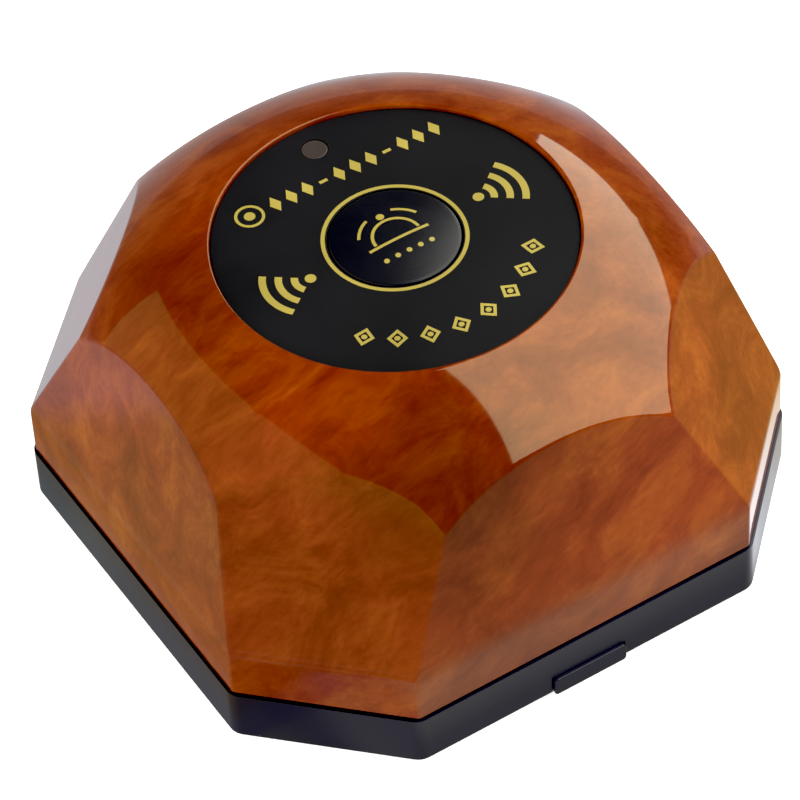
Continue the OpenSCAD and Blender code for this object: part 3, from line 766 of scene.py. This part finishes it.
# The film's colour is scaled by these clouds, so it carries painted light and shade as well as
# marbling
clouded_and_painted_light = grow(tree, "VectorMath", {0: mottled.outputs["Result"], "Scale": shade},
               operation="SCALE")
feed(amber, "Base Color", clouded_and_painted_light.outputs["Vector"])
shell_piece = place("dome_shell", shell, amber, "housing")
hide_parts("top_shell")


# Shell posts: bosses for the case screws, posts for the board, the pad's guide ring and the
# lamp's tube, all moulded with the shell in bare brown ABS on its inside.
case_screw_low, case_screw_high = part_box("case_screws")
led_low, led_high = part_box("status_led")
case_head_r = 2.7 * mm
case_head_h = 2 * mm
case_shank_r = 1.3 * mm
case_screw_at = case_screw_high.x - case_head_r
boss_r = 3.6 * mm
boss_bore = case_shank_r + 0.1 * mm
boss_bore_top = case_screw_high.z + 0.5 * mm
board_post_r = 2.6 * mm
board_bore = 1.05 * mm
board_bore_top = board_screw_high.z + 0.3 * mm
guide_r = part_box("button_cap")[1].x + 0.3 * mm
guide_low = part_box("button_cap")[0].z - 0.3 * mm
guide_wall = 1.2 * mm
lamp_bore = led_high.x + 0.3 * mm
lamp_low = led_low.z + 0.5 * mm
lamp_wall = 1 * mm
lamp_y = (led_low.y + led_high.y) / 2
post_top = roof_low + 1 * mm
wall_height = roof_low - 10 * mm


def hang_tube(mesh, bore, wall, low, at, steps):
    """A tube that hangs from the shell's roof."""
    turn(mesh, [(bore, post_top), (bore, low), (bore + wall, low), (bore + wall, post_top),
                (bore, post_top)], at, steps)


posts = bmesh.new()
for side in (1, 3, 5, 7):
    heading = radians(45 * side)
    outward = Vector((cos(heading), sin(heading), 0))
    boss_at = outward * case_screw_at * sqrt(2)
    turn(posts, [(boss_bore, shell_low.z), (boss_r, shell_low.z), (boss_r, roof_low),
                 (0, roof_low)], boss_at, steps=32)
    wall = Matrix.Rotation(heading, 3, "Z") @ facet_point(1, 0, wall_height, shell_wall / 2)
    wall_out = outward * cos(short_lean) + Vector((0, 0, sin(short_lean)))
    cut = bmesh.ops.bisect_plane(posts, geom=posts.verts[:] + posts.edges[:] + posts.faces[:],
                                 dist=1e-8, plane_co=wall, plane_no=wall_out, clear_outer=True)
    rim = [e for e in cut["geom_cut"] if isinstance(e, bmesh.types.BMEdge)]
    bmesh.ops.edgeloop_fill(posts, edges=rim)
    turn(posts, [(boss_bore, shell_low.z), (boss_bore, boss_bore_top), (0, boss_bore_top)],
         boss_at, steps=32)
for x in (-board_screw_x, board_screw_x):
    for y in (-board_screw_y, board_screw_y):
        turn(posts, [(0, board_bore_top), (board_bore, board_bore_top), (board_bore, board_high.z),
                     (board_post_r, board_high.z), (board_post_r, post_top), (0, post_top)],
             (x, y, 0), steps=32)
hang_tube(posts, guide_r, guide_wall, guide_low, (0, 0, 0), steps=96)
hang_tube(posts, lamp_bore, lamp_wall, lamp_low, (0, lamp_y, 0), steps=32)
bmesh.ops.recalc_face_normals(posts, faces=posts.faces)
bare_abs = moulded("bare_abs", (0.150, 0.055, 0.018), 0.42, 0.5 * mm, 0.008 * mm)
place("shell_posts", posts, bare_abs, "housing")


# Case screws: four zinc-plated pan heads with a cross recess, sunk in deep holes under the base
# and driven up into the shell's bosses.
case_screws = bmesh.new()
for x in (-case_screw_at, case_screw_at):
    for y in (-case_screw_at, case_screw_at):
        cross_screw(case_screws, Vector((x, y, case_screw_low.z + case_head_h)), case_head_r,
                    case_head_h, case_shank_r, case_screw_high.z - case_screw_low.z - case_head_h)
case_screw_piece = place("case_cross_screws", case_screws, zinc, "housing",
                         sharp=30)
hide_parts("case_screws")


# Label: a round face plate of matt black film on sheet, glued into the shell's recess, with
# holes for the press pad and the status window.
label_black = moulded("label_black", (0.0066, 0.0066, 0.0098), 0.50, 0.16 * mm, 0.006 * mm,
                      Specular_IOR_Level=0.20)
dress("label_disc", label_black)
break_edges("label_disc", 0.06 * mm)
label_top = label_high.z


# Status window: a small smoked lens in the label, over the lamp. The frame's solid is right, so
# only its edges are softened.
smoked_lens = moulded("smoked_lens", (0.038, 0.030, 0.029), 0.35, 0.8 * mm, 0.004 * mm)
dress("led_window", smoked_lens)
break_edges("led_window", 0.12 * mm)


# Label print: gold ink on the black plate. It is a ring round the pad, signal waves on both
# sides, a badge and a row of lozenges above, and an arc of open lozenges below.
ink_t = 0.03 * mm
ring_in = 9.0 * mm
ring_out = 9.53 * mm
wave_x = 12.7 * mm
wave_dot = 1.5 * mm
wave_stroke = 0.95 * mm
wave_gap = 2.05 * mm
wave_half = radians(38)
badge_in = 1.6 * mm
badge_out = 2.0 * mm
badge_dot = 1.5 * mm
badge_x = -13.3 * mm
row_x = -9.4 * mm
row_y = 13.9 * mm
row_step = 2.42 * mm
row_marks = 11
row_dashes = (3, 7)
dash_size = (1.2 * mm, 0.5 * mm)
lozenge_size = (1.6 * mm, 2.9 * mm)
motif_r = 17.7 * mm
motif_count = 8
motif_start = radians(-135)
motif_stop = radians(-40)
motif_size = (2.7 * mm, 3.1 * mm)
motif_line = 0.42 * mm
motif_dot = 0.8 * mm


def arc_strip(mesh, centre, r_in, r_out, start, sweep, steps):
    """A flat strip along an arc, on the plane z = 0."""
    out = Vector((cos(start), sin(start), 0))
    middle = Vector((*centre, 0))
    ends = [mesh.verts.new(middle + out * r) for r in (r_in, r_out)]
    bmesh.ops.spin(mesh, geom=ends + [mesh.edges.new(ends)], cent=middle, axis=(0, 0, 1),
                   dvec=(0, 0, 0), angle=sweep, steps=steps, use_merge=sweep == 2 * pi,
                   use_duplicate=False)


def flat_disc(mesh, centre, width, height, sides, angle=0):
    """A filled flat polygon, scaled to a width and a height."""
    spot = Matrix.Translation((*centre, 0)) @ Matrix.Rotation(angle, 4, "Z")
    made = bmesh.ops.create_circle(mesh, cap_ends=True, segments=sides, radius=0.5,
                                   matrix=spot @ Matrix.Diagonal((width, height, 1, 1)))
    return made["verts"][0].link_faces[0]


def flat_bar(mesh, centre, width, height, pieces):
    """A flat bar, cut into pieces along its width."""
    spot = Matrix.Translation((*centre, 0)) @ Matrix.Diagonal((width, height, 1, 1))
    bmesh.ops.create_grid(mesh, x_segments=pieces, y_segments=1, size=0.5, matrix=spot)


def thicken_ink(mesh):
    """Gives flat print its thickness, upwards from z = 0."""
    bmesh.ops.remove_doubles(mesh, verts=mesh.verts, dist=1e-8)
    mesh.normal_update()
    bmesh.ops.reverse_faces(mesh, faces=[f for f in mesh.faces if f.normal.z < 0])
    raised = bmesh.ops.extrude_face_region(mesh, geom=mesh.faces, use_keep_orig=True)
    bmesh.ops.translate(mesh, vec=(0, 0, ink_t),
                        verts=[v for v in raised["geom"] if isinstance(v, bmesh.types.BMVert)])
    bmesh.ops.recalc_face_normals(mesh, faces=mesh.faces)


gold_ink = moulded("gold_ink", (0.34, 0.275, 0.058), 0.42, 0.25 * mm, 0.004 * mm)

label_print = bmesh.new()
arc_strip(label_print, (0, 0), ring_in, ring_out, 0, 2 * pi, steps=128)
for hand in (0, pi):
    wave_at = (wave_x * cos(hand), 0)
    flat_disc(label_print, wave_at, wave_dot, wave_dot, sides=24)
    for i in (1, 2, 3):
        arc_strip(label_print, wave_at, i * wave_gap - wave_stroke / 2,
                  i * wave_gap + wave_stroke / 2, hand - wave_half, 2 * wave_half, steps=16)
badge = (badge_x, row_y)
arc_strip(label_print, badge, badge_in, badge_out, 0, 2 * pi, steps=40)
flat_disc(label_print, badge, badge_dot, badge_dot, sides=24)
for i in range(row_marks):
    spot = (row_x + i * row_step, row_y)
    if i in row_dashes:
        flat_bar(label_print, spot, *dash_size, pieces=1)
    else:
        flat_disc(label_print, spot, *lozenge_size, sides=4)
for i in range(motif_count):
    angle = motif_start + (motif_stop - motif_start) * i / (motif_count - 1)
    spot = (motif_r * cos(angle), motif_r * sin(angle))
    motif = flat_disc(label_print, spot, *motif_size, sides=4, angle=angle + pi / 2)
    bmesh.ops.inset_region(label_print, faces=[motif], thickness=motif_line, use_boundary=True,
                           use_even_offset=True)
    bmesh.ops.delete(label_print, geom=[motif], context="FACES_ONLY")
    flat_disc(label_print, spot, motif_dot, motif_dot, sides=16)
thicken_ink(label_print)
bmesh.ops.translate(label_print, vec=(0, 0, label_top), verts=label_print.verts)
place("label_print", label_print, gold_ink, "housing")


# Press pad: a hollow convex cap of satin black plastic that slides in the roof's bore. A flange
# under the roof keeps it in, and a post in its middle works the switch.
pad_low, pad_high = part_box("button_cap")
pad_clear = 0.15 * mm
pad_r = pad_bore_r - pad_clear
pad_crown = 0.75 * mm
pad_wall = 1.6 * mm
pad_travel = 0.5 * mm
pad_top = pad_high.z - ink_t
pad_edge = pad_top - pad_crown
flange_r = pad_high.x
flange_t = 1.4 * mm
flange_low = pad_low.z + pad_travel
flange_top = flange_low + flange_t
pad_post_r = 2.2 * mm
pad_round = 0.22 * mm
crown_r = (pad_r ** 2 + pad_crown ** 2) / (2 * pad_crown)
crown_rows = 16


def crown_height(radius):
    """How high the pad's crown is at a radius."""
    return pad_top - crown_r + sqrt(crown_r ** 2 - radius ** 2)


pad = bmesh.new()
crown = [(pad_r * i / crown_rows, crown_height(pad_r * i / crown_rows))
         for i in range(crown_rows + 1)]
turn(pad, crown + [(pad_r, flange_top), (flange_r, flange_top), (flange_r, flange_low),
                   (pad_r - pad_wall, flange_low), (pad_r - pad_wall, pad_edge - pad_wall),
                   (pad_post_r, pad_edge - pad_wall), (pad_post_r, pad_low.z), (0, pad_low.z)],
     (0, 0, 0), steps=96)
round_edges(pad, pad_round)
pad_black = moulded("pad_black", (0.0100, 0.0103, 0.0155), 0.26, 0.2 * mm, 0.002 * mm,
                    Specular_IOR_Level=0.28)
pad_piece = place("press_pad", pad, pad_black, "button")
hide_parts("button_cap")


# Pad print: a counter bell in thin gold lines, with a row of dots under it. The flat print is
# thickened and then laid over the pad's crown.
bell_r = 3.4 * mm
bell_y = -0.6 * mm
bell_line = 0.42 * mm
bell_plate = 2.6 * bell_r
knob_rise = 0.75 * mm
knob_size = 1.1 * mm
chime_r = bell_r + 1.3 * mm
chime_starts = (radians(28), radians(112))
chime_sweep = radians(40)
dot_size = 0.75 * mm
dot_step = 1.7 * mm
dot_drop = 2.9 * mm
pad_print = bmesh.new()
arc_strip(pad_print, (0, bell_y), bell_r - bell_line, bell_r, 0, pi, steps=32)
flat_bar(pad_print, (0, bell_y - bell_line), bell_plate, bell_line, pieces=24)
flat_disc(pad_print, (0, bell_y + bell_r + knob_rise), knob_size, knob_size, sides=24)
for start in chime_starts:
    arc_strip(pad_print, (0, bell_y), chime_r, chime_r + bell_line, start, chime_sweep, steps=12)
for i in range(-2, 3):
    flat_disc(pad_print, (dot_step * i, bell_y - dot_drop), dot_size, dot_size, sides=16)
thicken_ink(pad_print)
for v in pad_print.verts:
    v.co.z += crown_height(hypot(v.co.x, v.co.y))
place("pad_print", pad_print, gold_ink, "button")
